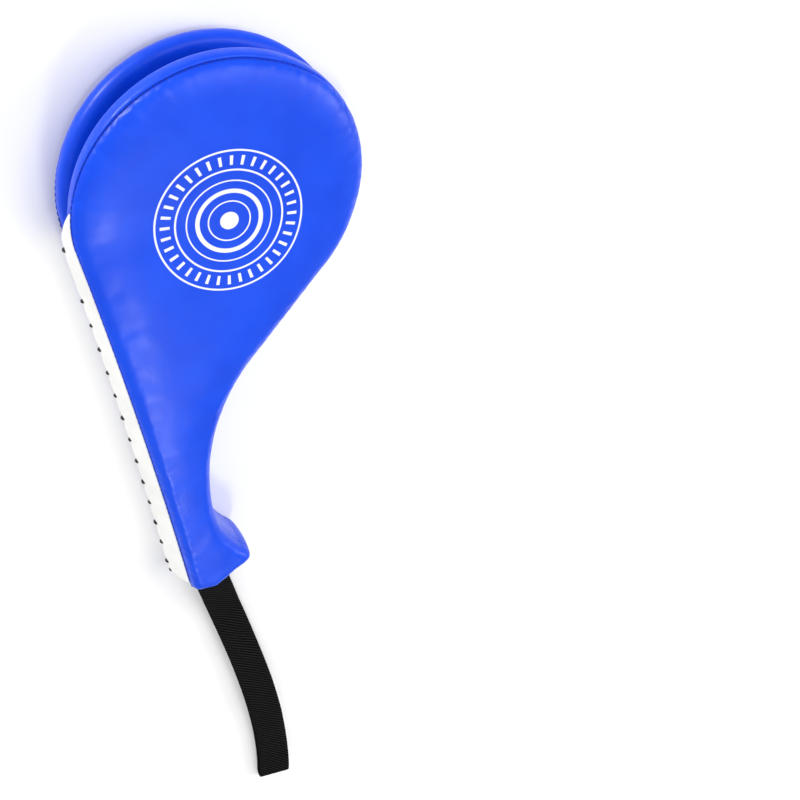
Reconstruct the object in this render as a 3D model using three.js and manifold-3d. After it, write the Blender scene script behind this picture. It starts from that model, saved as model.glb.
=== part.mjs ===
// Double-leaf kicking paddle: two padded leaves on one laced handle, with a wrist strap.
// Millimetres, +Z up, head towards +Y. The paddle lies on its rear leaf, on the plane z = 0.

import * as THREE from 'three';
import { mergeVertices } from 'three/addons/utils/BufferGeometryUtils.js';
import Module from 'manifold-3d';

const wasm = await Module();
wasm.setup();

const { clamp, degToRad, lerp, smoothstep } = THREE.MathUtils;

// ---- driving dimensions -------------------------------------------------------------

const HEAD_R = 94; // mean radius of the oval head
const HEAD_LEAN = 2; // the oval is this much longer along its 45 degree axis
const FLEX_Y = -18; // the leaves leave the handle here and bend about this line
const FLEX_GAP = 1.9; // clearance on each side of the flex line
const SPLAY = 5; // degrees between the leaves at rest

const SHOULDER = 19; // seam height above the middle plane
const CROWN = 4.5; // rise of the padded face above its seam
const INNER_FACE = 6.5; // inner face of a leaf above the middle plane
const SKIN = 1.3; // coated leather with its backing
const GAP = 0.4; // clearance between neighbouring pieces

const BOARD_T = 2.5; // stiffener board
const BOARD_BOTTOM = INNER_FACE + SKIN + GAP;
const BOARD_TOP = BOARD_BOTTOM + BOARD_T;
const BOARD_MIDDLE = (BOARD_BOTTOM + BOARD_TOP) / 2;
const FACE = SHOULDER + CROWN; // padded face above the middle plane

const RIM_INSET = 4; // seam of the padded face inside the rim of the head
const GUSSET_BULGE_TOP = 2; // how far the side strips stand out at the flex line
const GUSSET_BULGE_BUTT = 7.5; // and at the butt, on the left
const SIDE_PANEL_BULGE = 1; // the right side panel is drawn almost flat round the grip

const CORE_TOP_Y = -148; // the pocket between the leaves ends on the handle core
const CORE_INSET = SKIN + 1.2;
const CORE_BUTT_Y = -250; // below this the core is narrower, to clear the seams of the butt
const CORE_BUTT_EXTRA = 0.8;
const STRAP_W = 25.5;
const STRAP_T = 1.8;
const STRAP_REST = 9; // inner height of the open loop
const LACE_R = 0.8;
const THREAD_R = 0.45;

// ---- outline ------------------------------------------------------------------------

const point = (x, y) => new THREE.Vector2(x, y);
const HEAD_TILT = Math.PI / 4;

function headArc(fromDegrees, toDegrees) {
  const start = degToRad(fromDegrees) - HEAD_TILT;
  const end = degToRad(toDegrees) - HEAD_TILT;
  const long = HEAD_R + HEAD_LEAN;
  const short = HEAD_R - HEAD_LEAN;
  return new THREE.EllipseCurve(0, 0, long, short, start, end, false, HEAD_TILT);
}

const upperHead = headArc(-13, 192.5);
const lowerHead = headArc(-42, -13);
const leftShoulder = upperHead.getPoint(1);
const rightShoulder = lowerHead.getPoint(0);
const buttLeft = point(-25.5, -298);
const buttLevel = point(-19, -303.5);
const buttTurn = point(-8, -303.5);
const hookBelow = point(11, -291);
const hookAbove = point(12.5, -272.5);
const grip = point(-9.2, -205);
const neck = point(24.5, -115.6);

// Each stretch of the outline with its number of steps, counter-clockwise from the right.
const STRETCHES = {
  rim: [upperHead, 36],
  leftSide: [new THREE.QuadraticBezierCurve(leftShoulder, point(-56, -152), buttLeft), 12],
  buttCorner: [new THREE.QuadraticBezierCurve(buttLeft, point(-24.2, -303.5), buttLevel), 3],
  buttEnd: [new THREE.LineCurve(buttLevel, buttTurn), 2],
  buttSlant: [new THREE.QuadraticBezierCurve(buttTurn, point(-4, -302), hookBelow), 4],
  hook: [new THREE.QuadraticBezierCurve(hookBelow, point(28.5, -282.5), hookAbove), 5],
  gripSide: [new THREE.CubicBezierCurve(hookAbove, point(-2, -256), point(-9.2, -246), grip), 7],
  neckSide: [new THREE.CubicBezierCurve(grip, point(-9.2, -175), point(2, -141), neck), 7],
  neckLine: [new THREE.LineCurve(neck, rightShoulder), 4],
  lowerRim: [lowerHead, 4],
};

function sampleOutline() {
  const outline = [];
  const ranges = {};
  for (const [name, [curve, steps]] of Object.entries(STRETCHES)) {
    ranges[name] = outline.length;
    for (let i = 0; i < steps; i += 1) {
      outline.push(curve.getPoint(i / steps));
    }
  }
  ranges.end = outline.length;
  return { outline, ranges };
}

const { outline, ranges } = sampleOutline();
const COUNT = outline.length;

// Unit vectors that point into the outline, square to the chord across each point.
const inward = outline.map((_, i) => {
  const chord = outline[(i + 1) % COUNT].clone().sub(outline[(i + COUNT - 1) % COUNT]);
  return point(-chord.y, chord.x).normalize();
});

// Seam of the padded face: inside the rim on the head, on the edge along the handle.
const seamInset = (y) => RIM_INSET * smoothstep(y, FLEX_Y - 2, 42);

// Width of the rounded shoulder, which narrows with the handle.
function crownReach(y) {
  const neckPart = smoothstep(y, -200, -60);
  const buttPart = smoothstep(y, -272, -200);
  return lerp(lerp(3.4, 9, buttPart), 22, neckPart);
}

function leftBulge(y) {
  const along = clamp((FLEX_Y - y) / (FLEX_Y - buttLeft.y), 0, 1);
  return lerp(GUSSET_BULGE_TOP, GUSSET_BULGE_BUTT, along);
}

// ---- solids from rings and sheets -----------------------------------------------------

function insetPoint(i, inset) {
  return outline[i].clone().addScaledVector(inward[i], inset);
}

// One closed ring round the outline, inset by a distance that may change along it.
function ring(insetAt, z) {
  return outline.map((p, i) => {
    const q = insetPoint(i, insetAt(p.y));
    return new THREE.Vector3(q.x, q.y, z);
  });
}

function geometryFrom(positions, indices) {
  const geometry = new THREE.BufferGeometry();
  geometry.setAttribute('position', new THREE.Float32BufferAttribute(positions, 3));
  geometry.setIndex(indices);
  return geometry;
}

// Rings joined one to the next, the first and the last closed flat.
function ringSolid(rings) {
  const size = rings[0].length;
  const positions = rings.flat().flatMap((p) => [p.x, p.y, p.z]);
  const indices = [];
  for (let r = 0; r + 1 < rings.length; r += 1) {
    for (let i = 0; i < size; i += 1) {
      const a = r * size + i;
      const b = r * size + ((i + 1) % size);
      indices.push(a, b, b + size, a, b + size, a + size);
    }
  }
  const capOf = (points) => THREE.ShapeUtils.triangulateShape(points.map((p) => point(p.x, p.y)), []);
  const last = (rings.length - 1) * size;
  for (const [a, b, c] of capOf(rings[0])) {
    indices.push(a, c, b);
  }
  for (const [a, b, c] of capOf(rings.at(-1))) {
    indices.push(last + a, last + b, last + c);
  }
  return geometryFrom(positions, indices);
}

// Two grids of equal size, front and back of a sheet, closed along their four borders.
function sheetSolid(front, back) {
  const rows = front.length;
  const columns = front[0].length;
  const backStart = rows * columns;
  const positions = [...front.flat(), ...back.flat()].flatMap((p) => [p.x, p.y, p.z]);
  const at = (r, c) => r * columns + c;
  const indices = [];
  const quad = (a, b, c, d) => indices.push(a, b, c, a, c, d);
  for (let r = 0; r + 1 < rows; r += 1) {
    for (let c = 0; c + 1 < columns; c += 1) {
      const corners = [at(r, c), at(r + 1, c), at(r + 1, c + 1), at(r, c + 1)];
      quad(...corners);
      quad(...corners.reverse().map((k) => k + backStart));
    }
  }
  for (let r = 0; r + 1 < rows; r += 1) {
    const last = columns - 1;
    quad(at(r, 0), at(r, 0) + backStart, at(r + 1, 0) + backStart, at(r + 1, 0));
    quad(at(r + 1, last), at(r + 1, last) + backStart, at(r, last) + backStart, at(r, last));
  }
  for (let c = 0; c + 1 < columns; c += 1) {
    const last = rows - 1;
    quad(at(0, c + 1), at(0, c + 1) + backStart, at(0, c) + backStart, at(0, c));
    quad(at(last, c), at(last, c) + backStart, at(last, c + 1) + backStart, at(last, c + 1));
  }
  return geometryFrom(positions, indices);
}

function toManifold(geometry) {
  const bare = geometry.clone();
  bare.deleteAttribute('normal');
  bare.deleteAttribute('uv');
  const merged = mergeVertices(bare, 1e-4);
  const vertProperties = new Float32Array(merged.attributes.position.array);
  const triVerts = new Uint32Array(merged.index.array);
  return new wasm.Manifold(new wasm.Mesh({ numProp: 3, vertProperties, triVerts }));
}

function fromManifold(solid) {
  const mesh = solid.getMesh();
  return geometryFrom(Array.from(mesh.vertProperties), Array.from(mesh.triVerts));
}

function boxSolid(low, high) {
  const size = high.map((value, axis) => value - low[axis]);
  const box = new THREE.BoxGeometry(...size);
  return box.translate(...low.map((value, axis) => value + size[axis] / 2));
}

const overlapOf = (a, b) => fromManifold(toManifold(a).intersect(toManifold(b)));
const cutFrom = (a, b) => fromManifold(toManifold(a).subtract(toManifold(b)));

const FAR = 1000;
const headSide = (geometry) => overlapOf(geometry, boxSolid([-FAR, FLEX_Y + FLEX_GAP, -FAR], [FAR, FAR, FAR]));
const gripSide = (geometry) => overlapOf(geometry, boxSolid([-FAR, -FAR, -FAR], [FAR, FLEX_Y - FLEX_GAP, FAR]));

// The rear half of the paddle is the front half mirrored in the middle plane.
function mirrored(geometry) {
  const positions = Array.from(geometry.attributes.position.array);
  for (let i = 2; i < positions.length; i += 3) {
    positions[i] = -positions[i];
  }
  const indices = Array.from(geometry.index.array);
  for (let i = 0; i < indices.length; i += 3) {
    [indices[i + 1], indices[i + 2]] = [indices[i + 2], indices[i + 1]];
  }
  return geometryFrom(positions, indices);
}

// ---- pieces of one half -----------------------------------------------------------------

const CROWN_STEPS = [0, 32, 62, 90].map(degToRad);

// Rings of a quarter-round shoulder that rises from a low height to a flat top.
function crownRings(startInset, low, high) {
  return CROWN_STEPS.map((angle) => {
    const insetAt = (y) => {
      const start = seamInset(y) + startInset;
      return lerp(start, Math.max(start, seamInset(y) + crownReach(y)), 1 - Math.cos(angle));
    };
    return ring(insetAt, lerp(low, high, Math.sin(angle)));
  });
}

function facePanel() {
  const inside = crownRings(SKIN, SHOULDER, FACE - SKIN).reverse();
  return ringSolid([...inside, ...crownRings(0, SHOULDER, FACE)]);
}

// Rings down the rounded rim wall, from the seam to the inner face.
function wallRings(thickness) {
  const top = SHOULDER - GAP;
  const bottom = INNER_FACE + thickness;
  return [0, 0.25, 0.55, 0.85, 1].map((share) => {
    const swell = Math.sin(share * Math.PI);
    const edge = (y) => (share < 0.5 ? seamInset(y) : RIM_INSET);
    return ring((y) => thickness + (1 - swell) * edge(y), lerp(top, bottom, share));
  });
}

// Rim wall of the head and the inner face in one skin, open towards the padding.
function rimWrap() {
  return ringSolid([...wallRings(0).reverse(), ...wallRings(SKIN)]);
}

function padFoam() {
  const clearance = SKIN + GAP;
  const tuck = RIM_INSET / 2;
  const sides = [BOARD_TOP + GAP, SHOULDER - 2].map((z) => ring((y) => seamInset(y) + clearance + tuck, z));
  return ringSolid([...sides, ...crownRings(clearance + tuck, SHOULDER, FACE - clearance)]);
}

function board() {
  const inset = (y) => SKIN + 1 + RIM_INSET * smoothstep(y, -120, -30);
  return ringSolid([ring(inset, BOARD_BOTTOM), ring(inset, BOARD_TOP)]);
}

// Flat skin inside the pocket between the leaves, down to the handle core.
function pocketLining() {
  const inset = () => SKIN + 1;
  const sheet = ringSolid([ring(inset, INNER_FACE), ring(inset, INNER_FACE + SKIN)]);
  return overlapOf(sheet, boxSolid([-FAR, CORE_TOP_Y + GAP, -FAR], [FAR, FLEX_Y - FLEX_GAP, FAR]));
}

const HALF_ROWS = [GAP, SHOULDER / 3, (SHOULDER * 2) / 3, SHOULDER - GAP];
const FULL_ROWS = [-1, -0.6, 0, 0.6, 1].map((part) => part * (SHOULDER - GAP));

// Skin on the side of the paddle along part of the outline, bulging outwards between its seams.
function sideSkin(from, to, heights, bulgeAt) {
  const grid = (depth) => {
    const rows = [];
    for (let k = from; k <= to; k += 1) {
      rows.push(heights.map((z) => {
        const bulge = bulgeAt(k) * (1 - (z / SHOULDER) ** 2);
        const q = insetPoint(k % COUNT, depth - bulge);
        return new THREE.Vector3(q.x, q.y, z);
      }));
    }
    return rows;
  };
  return sheetSolid(grid(0), grid(SKIN));
}

// White strip from the middle plane to the seam, on the laced left side.
const sideStrip = (from, to) => sideSkin(from, to, HALF_ROWS, (k) => leftBulge(outline[k].y));

// One panel from the front seam to the rear seam, round the right side of the grip.
const sidePanel = (from, to) => sideSkin(from, to, FULL_ROWS, () => SIDE_PANEL_BULGE);

// ---- threads, core and butt ---------------------------------------------------------------

function roundSection(radius, sides) {
  const corners = [];
  for (let i = 0; i < sides; i += 1) {
    const angle = (i / sides) * Math.PI * 2;
    corners.push(point(radius * Math.cos(angle), radius * Math.sin(angle)));
  }
  return new THREE.Shape(corners);
}

function threadAlong(points, radius, sides) {
  const path = new THREE.CatmullRomCurve3(points);
  const options = { extrudePath: path, steps: points.length - 1, bevelEnabled: false };
  return mergeVertices(bareOf(new THREE.ExtrudeGeometry(roundSection(radius, sides), options)), 1e-4);
}

function bareOf(geometry) {
  geometry.deleteAttribute('normal');
  geometry.deleteAttribute('uv');
  return geometry;
}

// Seam thread just outside the edge of the padded face, along part of the outline.
function seamThread(from, to) {
  const points = [];
  for (let k = from; k <= to; k += 1) {
    const i = k % COUNT;
    const q = insetPoint(i, seamInset(outline[i].y) - THREAD_R - 2 * GAP);
    points.push(new THREE.Vector3(q.x, q.y, SHOULDER + 1));
  }
  return threadAlong(points, THREAD_R, 5);
}

// Lacing cord behind the joint of the front and rear side strips.
function lace(from, to) {
  const points = [];
  for (let k = from; k <= to; k += 1) {
    const q = insetPoint(k, SKIN + GAP + LACE_R - leftBulge(outline[k].y));
    points.push(new THREE.Vector3(q.x, q.y, 0));
  }
  return threadAlong(points, LACE_R, 6);
}

const strapExit = new THREE.Vector3(-5, -309.5, 0);
const strapPlan = new THREE.CubicBezierCurve(
  point(strapExit.x, strapExit.y),
  point(20, -385),
  point(55, -480),
  point(56, -556),
);
const ANCHOR_START = 3; // the strap turns about its exit, so its sewn ends start behind it
const ANCHOR_DEPTH = 34; // the strap ends are sewn this deep in the core
const ANCHOR_T = 2 * STRAP_T + GAP;
const BUTT_OPEN = -5; // cuts for the strap run this far past its exit
const POCKET_ROOM = { side: 1, end: 2, top: 1.5 }; // clearances round the sewn ends

// A box in line with the strap's first stretch, from one distance behind the exit to another.
function strapBox(near, far, width, thickness, z) {
  const along = strapPlan.getTangent(0);
  const box = new THREE.BoxGeometry(width, far - near, thickness);
  box.translate(0, (near + far) / 2, z);
  box.rotateZ(Math.atan2(-along.x, along.y) + Math.PI);
  return box.translate(strapExit.x, strapExit.y, 0);
}

function handleCore() {
  const inset = (y) => CORE_INSET + (y < CORE_BUTT_Y ? CORE_BUTT_EXTRA : 0);
  const top = BOARD_BOTTOM - GAP;
  const block = ringSolid([ring(inset, -top), ring(inset, top)]);
  const kept = overlapOf(block, boxSolid([-FAR, -FAR, -FAR], [FAR, CORE_TOP_Y, FAR]));
  const width = STRAP_W + 2 * POCKET_ROOM.side;
  const height = ANCHOR_T + 2 * POCKET_ROOM.top;
  const pocket = strapBox(BUTT_OPEN, ANCHOR_DEPTH + POCKET_ROOM.end, width, height, 0);
  return cutFrom(kept, pocket);
}

function strapAnchor() {
  return strapBox(ANCHOR_START, ANCHOR_DEPTH, STRAP_W, ANCHOR_T, 0);
}

const TACK_START = 12;
const TACK_LINE = 1; // width of the line of stitches

// Box-and-bar stitching on the sewn strap ends, a thin frame of thread.
function barTack() {
  const z = ANCHOR_T / 2 + GAP + THREAD_R;
  const start = TACK_START;
  const end = ANCHOR_DEPTH - 2;
  const width = STRAP_W - 4;
  const outer = strapBox(start, end, width, 2 * THREAD_R, z);
  const hole = strapBox(start + TACK_LINE, end - TACK_LINE, width - 2 * TACK_LINE, 4 * THREAD_R, z);
  return cutFrom(outer, hole);
}

const BUTT_BULGE = 3;

// End panel across the butt, with the slot that the strap comes out of.
function buttPanel() {
  const from = ranges.buttCorner;
  const to = ranges.hook;
  const bulgeAt = (k) => BUTT_BULGE * clamp(Math.min(k - from, to - k) / 2, 0, 1);
  const panel = sideSkin(from, to, FULL_ROWS, bulgeAt);
  return cutFrom(panel, strapBox(BUTT_OPEN, ANCHOR_DEPTH, STRAP_W + 1, ANCHOR_T + 1, 0));
}

// ---- strap ----------------------------------------------------------------------------------

const STRAP_STEPS = 18;
const STRAP_DROP = FACE - STRAP_T / 2; // middle of the lower layer below the exit when it lies flat
const STRAP_START = 0.004; // share of the plan where the loop begins

// Height of the strap's two layers above the middle plane, by share of the way along.
function strapHeights(share) {
  const fall = smoothstep(share, 0, 0.26);
  const open = smoothstep(share, 0.02, 0.3) * (1 - 0.35 * smoothstep(share, 0.6, 1));
  const half = (STRAP_T + GAP) / 2;
  const lower = lerp(-half, -STRAP_DROP, fall);
  return { lower, upper: lower + 2 * half + (STRAP_REST - GAP) * open };
}

function strapSection(share, z, lift, turn) {
  const middle = strapPlan.getPoint(share);
  const along = strapPlan.getTangent(share);
  const across = new THREE.Vector3(-along.y, along.x, 0).multiplyScalar(STRAP_W / 2);
  const normal = new THREE.Vector3(along.x * Math.cos(turn), along.y * Math.cos(turn), Math.sin(turn));
  const centre = new THREE.Vector3(middle.x, middle.y, z).addScaledVector(normal, lift);
  const half = normal.multiplyScalar(STRAP_T / 2);
  return [
    centre.clone().sub(across).sub(half),
    centre.clone().add(across).sub(half),
    centre.clone().add(across).add(half),
    centre.clone().sub(across).add(half),
  ];
}

// The wrist loop: out along the upper layer, round the fold and back along the lower one.
function wristStrap() {
  const sections = [];
  const share = (k) => lerp(STRAP_START, 1, k / STRAP_STEPS);
  for (let k = 0; k <= STRAP_STEPS; k += 1) {
    sections.push(strapSection(share(k), strapHeights(share(k)).upper, 0, Math.PI / 2));
  }
  const end = strapHeights(1);
  const radius = (end.upper - end.lower) / 2;
  for (const degrees of [54, 18, -18, -54]) {
    sections.push(strapSection(1, (end.upper + end.lower) / 2, radius, degToRad(degrees)));
  }
  for (let k = STRAP_STEPS; k >= 0; k -= 1) {
    sections.push(strapSection(share(k), strapHeights(share(k)).lower, 0, -Math.PI / 2));
  }
  return bandSolid(sections);
}

// Four-cornered sections joined one to the next, both ends closed.
function bandSolid(sections) {
  const positions = sections.flat().flatMap((p) => [p.x, p.y, p.z]);
  const indices = [];
  const quad = (a, b, c, d) => indices.push(a, b, c, a, c, d);
  for (let s = 0; s + 1 < sections.length; s += 1) {
    for (let i = 0; i < 4; i += 1) {
      const a = s * 4 + i;
      const b = s * 4 + ((i + 1) % 4);
      quad(a, b, b + 4, a + 4);
    }
  }
  const last = (sections.length - 1) * 4;
  quad(3, 2, 1, 0);
  quad(last, last + 1, last + 2, last + 3);
  return geometryFrom(positions, indices);
}

// ---- scene graph ----------------------------------------------------------------------------

const LOOKS = {
  blueLeather: { color: 0x1f45ea, roughness: 0.42, metalness: 0 },
  whiteLeather: { color: 0xf2f2ee, roughness: 0.5, metalness: 0 },
  foam: { color: 0xd8cf9f, roughness: 0.95, metalness: 0 },
  board: { color: 0x9aa0a6, roughness: 0.6, metalness: 0 },
  blueThread: { color: 0x1a37c0, roughness: 0.8, metalness: 0 },
  blackCord: { color: 0x101012, roughness: 0.85, metalness: 0 },
  webbing: { color: 0x0c0c0e, roughness: 0.9, metalness: 0 },
};

function piece(name, geometry, look) {
  const mesh = new THREE.Mesh(geometry, new THREE.MeshStandardMaterial(LOOKS[look]));
  mesh.name = name;
  return mesh;
}

// A group that turns its pieces about the flex line of one leaf.
function leafGroup(boardHeight, splayDegrees, pieces) {
  const group = new THREE.Group();
  group.position.set(0, FLEX_Y, boardHeight);
  group.rotation.x = degToRad(splayDegrees);
  for (const mesh of pieces) {
    mesh.position.set(0, -FLEX_Y, -boardHeight);
    group.add(mesh);
  }
  return group;
}

const panel = facePanel();
const wrap = rimWrap();
const foam = padFoam();
const stiffener = board();
const lining = pocketLining();

// Outline stretches that the seam threads, the side strips and the lace follow.
const rimSpan = [ranges.rim + 1, ranges.leftSide - 1];
const leftSpan = [ranges.leftSide, ranges.buttCorner];

function halfPieces(half, place) {
  const named = (name, geometry, look) => piece(`${half}_${name}`, place(geometry), look);
  const leaf = [
    named('face_panel', headSide(panel), 'blueLeather'),
    named('rim_wrap', headSide(wrap), 'blueLeather'),
    named('pad_foam', headSide(foam), 'foam'),
    named('stiffener_board', headSide(stiffener), 'board'),
    named('rim_seam_thread', seamThread(...rimSpan), 'blueThread'),
  ];
  const handle = [
    named('grip_panel', gripSide(panel), 'blueLeather'),
    named('pocket_lining', lining, 'blueLeather'),
    named('grip_foam', gripSide(foam), 'foam'),
    named('grip_board', gripSide(stiffener), 'board'),
    named('left_seam_thread', seamThread(ranges.leftSide + 1, ranges.buttCorner), 'blueThread'),
    named('right_seam_thread', seamThread(ranges.gripSide + 1, ranges.end - 1), 'blueThread'),
    named('left_side_strip', sideStrip(...leftSpan), 'whiteLeather'),
  ];
  return { leaf, handle };
}

const front = halfPieces('front', (geometry) => geometry);
const rear = halfPieces('rear', mirrored);

const paddle = new THREE.Group();
paddle.add(leafGroup(BOARD_MIDDLE, SPLAY, front.leaf));
paddle.add(leafGroup(-BOARD_MIDDLE, 0, rear.leaf));
paddle.add(...front.handle, ...rear.handle);
paddle.add(piece('handle_core', handleCore(), 'foam'));
paddle.add(piece('left_lace', lace(...leftSpan), 'blackCord'));
paddle.add(piece('right_side_panel', sidePanel(ranges.hook, ranges.end), 'blueLeather'));
paddle.add(piece('butt_panel', buttPanel(), 'blueLeather'));
paddle.add(piece('strap_anchor', strapAnchor(), 'webbing'));
paddle.add(piece('strap_bar_tack', barTack(), 'blackCord'));
paddle.add(piece('wrist_strap', wristStrap(), 'webbing'));

// The origin is under the middle of the paddle, on the surface it lies on.
const extent = new THREE.Box3().setFromObject(paddle, true);
const middle = extent.getCenter(new THREE.Vector3());
paddle.position.set(-middle.x, -middle.y, FACE);

const root = new THREE.Group();
root.add(paddle);

export default root;
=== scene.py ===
"""Double kicking paddle: stitched padded leather, laced side strips and a webbing wrist strap.

Shapes are worked out in the paddle's own frame in millimetres: origin in the middle of the head,
+Y to the tip, z = 0 between the two halves. place() puts them in the row frame in metres.
"""

import math

import bmesh
import bpy
import numpy as np
from mathutils import Matrix, Vector
from mathutils.geometry import delaunay_2d_cdt


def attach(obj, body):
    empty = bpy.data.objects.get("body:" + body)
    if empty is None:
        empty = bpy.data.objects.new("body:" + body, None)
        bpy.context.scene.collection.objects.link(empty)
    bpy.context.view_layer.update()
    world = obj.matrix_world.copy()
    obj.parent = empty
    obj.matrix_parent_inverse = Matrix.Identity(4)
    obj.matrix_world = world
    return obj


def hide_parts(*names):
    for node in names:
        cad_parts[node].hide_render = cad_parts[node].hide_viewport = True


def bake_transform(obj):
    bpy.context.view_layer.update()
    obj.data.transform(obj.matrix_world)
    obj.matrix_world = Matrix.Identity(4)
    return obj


# ---- dimensions, millimetres -----------------------------------------------------------

HEAD_R = 94.0
HEAD_LEAN = 2.0
HEAD_TILT = math.radians(45)
FLEX_Y = -18.0
SPLAY = math.radians(5)
BOARD_MIDDLE = 9.45

SHOULDER = 19.0
CROWN = 4.5
FRONT_CROWN = 7.0
HEAD_REACH = {"front": 36.0, "rear": 24.0}
INNER_FACE = 6.5
SKIN = 1.3
RIM_INSET = 4.0
ROLLED_INSET = 0.3
INNER_ROLL = 9.0
CORE_TOP_Y = -148.0

LEFT_BULGE = (4.2, 8.8)
SIDE_PANEL_BULGE = 1.0
BUTT_BULGE = 3.0
BUTT_Y = -298.0

STRAP_W = 25.5
STRAP_T = 1.8
STRAP_GAP = 0.4
STRAP_OPENING = 8.6
LACE_PITCH = 18.8
LACE_R = 1.3

BEND_START_Y = -40.0
BEND_END_Y = 6.0
FINE = 1.6
ORIGIN = np.array([0.22, 233.38, 23.5])

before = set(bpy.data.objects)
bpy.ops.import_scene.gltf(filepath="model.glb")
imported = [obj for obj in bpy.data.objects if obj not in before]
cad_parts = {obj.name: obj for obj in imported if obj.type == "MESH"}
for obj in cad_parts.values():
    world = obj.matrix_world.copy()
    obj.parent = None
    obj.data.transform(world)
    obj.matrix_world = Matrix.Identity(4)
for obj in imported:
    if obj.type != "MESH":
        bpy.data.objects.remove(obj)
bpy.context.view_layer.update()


# ---- small helpers ---------------------------------------------------------------------


def smoothstep(value, low, high):
    t = np.clip((np.asarray(value, float) - low) / (high - low), 0, 1)
    return t * t * (3 - 2 * t)


def lerp(a, b, t):
    return a + (b - a) * t


def bell(distance, width):
    return np.exp(-((distance / width) ** 2))


def ripple(s, wavelengths, amplitudes, phases):
    """Smooth uneven waves along a length s."""
    total = np.zeros_like(np.asarray(s, float))
    for wave, amplitude, phase in zip(wavelengths, amplitudes, phases):
        total += amplitude * np.sin(2 * math.pi * s / wave + phase)
    return total


def splayed(points, angle):
    """Turns the leaf part of these points about the flex line, easing in over the bend."""
    turn = angle * smoothstep(points[:, 1], BEND_START_Y, BEND_END_Y)
    y = points[:, 1] - FLEX_Y
    z = points[:, 2] - BOARD_MIDDLE
    moved = points.copy()
    moved[:, 1] = FLEX_Y + y * np.cos(turn) - z * np.sin(turn)
    moved[:, 2] = BOARD_MIDDLE + y * np.sin(turn) + z * np.cos(turn)
    return moved


def half_points(points, half):
    """Points of the front half put on the front or the rear half."""
    if half == "front":
        return splayed(points, SPLAY)
    return points * np.array([1.0, 1.0, -1.0])


def place(points):
    return (np.asarray(points, float) + ORIGIN) / 1000


# ---- outline ---------------------------------------------------------------------------


def head_arc(start, end):
    low, high = math.radians(start) - HEAD_TILT, math.radians(end) - HEAD_TILT

    def at(t):
        angle = lerp(low, high, t)
        x = (HEAD_R + HEAD_LEAN) * math.cos(angle)
        y = (HEAD_R - HEAD_LEAN) * math.sin(angle)
        cosine, sine = math.cos(HEAD_TILT), math.sin(HEAD_TILT)
        return np.array([x * cosine - y * sine, x * sine + y * cosine])

    return at


def bezier(*controls):
    controls = [np.array(c, float) for c in controls]

    def at(t):
        row = controls
        while len(row) > 1:
            row = [lerp(a, b, t) for a, b in zip(row, row[1:])]
        return row[0]

    return at


UPPER_HEAD = head_arc(-13, 192.5)
LOWER_HEAD = head_arc(-42, -13)
BUTT_LEFT = (-25.5, BUTT_Y)
BUTT_LEVEL = (-19, -303.5)
BUTT_TURN = (-8, -303.5)
HOOK_BELOW = (11, -291)
HOOK_ABOVE = (12.5, -272.5)
GRIP = (-9.2, -205)
NECK = (24.5, -115.6)

STRETCHES = {
    "rim": UPPER_HEAD,
    "left_side": bezier(UPPER_HEAD(1), (-56, -152), BUTT_LEFT),
    "butt_corner": bezier(BUTT_LEFT, (-24.2, -303.5), BUTT_LEVEL),
    "butt_end": bezier(BUTT_LEVEL, BUTT_TURN),
    "butt_slant": bezier(BUTT_TURN, (-4, -302), HOOK_BELOW),
    "hook": bezier(HOOK_BELOW, (28.5, -282.5), HOOK_ABOVE),
    "grip_side": bezier(HOOK_ABOVE, (-2, -256), (-9.2, -246), GRIP),
    "neck_side": bezier(GRIP, (-9.2, -175), (2, -141), NECK),
    "neck_line": bezier(NECK, LOWER_HEAD(0)),
    "lower_rim": LOWER_HEAD,
}


class Outline:
    """The paddle's outline, counter-clockwise from the right, at even steps of arc length."""

    def __init__(self, step):
        dense, marks = [], {}
        for name, at in STRETCHES.items():
            marks[name] = len(dense)
            dense += [at(t) for t in np.linspace(0, 1, 160, endpoint=False)]
        dense = np.array(dense)
        closed = np.vstack([dense, dense[:1]])
        lengths = np.concatenate([[0], np.cumsum(np.linalg.norm(np.diff(closed, axis=0), axis=1))])
        self.total = lengths[-1]
        self.marks = {name: lengths[i] for name, i in marks.items()}
        self.count = round(self.total / step)
        self.s = np.arange(self.count) * self.total / self.count
        self.lengths, self.closed = lengths, closed
        self.points = self.at(self.s)

    def at(self, s):
        s = np.asarray(s, float) % self.total
        x = np.interp(s, self.lengths, self.closed[:, 0])
        y = np.interp(s, self.lengths, self.closed[:, 1])
        return np.stack([x, y], axis=-1)

    def inward(self, s):
        chord = self.at(np.asarray(s, float) + FINE) - self.at(np.asarray(s, float) - FINE)
        chord /= np.linalg.norm(chord, axis=-1, keepdims=True)
        return np.stack([-chord[..., 1], chord[..., 0]], axis=-1)

    def inset(self, s, distance):
        distance = np.asarray(distance, float)
        return self.at(s) + self.inward(s) * distance[..., None]


OUTLINE = Outline(FINE)
ROLL_ENDS = (75.0, 150.0)
ROLL_DROP = 3.2
LEFT_TOP = OUTLINE.marks["left_side"]
LEFT_END = OUTLINE.marks["butt_corner"]
BUTT_END = OUTLINE.marks["hook"]
RIGHT_END = OUTLINE.total


def rolled(s):
    """1 on the right side, where the face is rolled over the rim, and 0 along the top and the left."""
    s = np.asarray(s, float) % OUTLINE.total
    to_top = 1 - smoothstep(s, ROLL_ENDS[0], ROLL_ENDS[1])
    past_butt = smoothstep(s, OUTLINE.marks["butt_slant"], OUTLINE.marks["hook"])
    return np.maximum(to_top, past_butt)


SEAM_MOVES_IN = (-12, 90)
REACH_WIDENS = (-200, -60)
REACH_NARROWS = (-285, -215)
GRIP_REACH = 13
BUTT_REACH = 7


def seam_inset(s):
    """Seam of the padded face inside the outline: on the rim of the head, except where it is rolled."""
    on_head = smoothstep(OUTLINE.at(s)[..., 1], *SEAM_MOVES_IN)
    return RIM_INSET * on_head * (1 - rolled(s)) + ROLLED_INSET * rolled(s)


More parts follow.
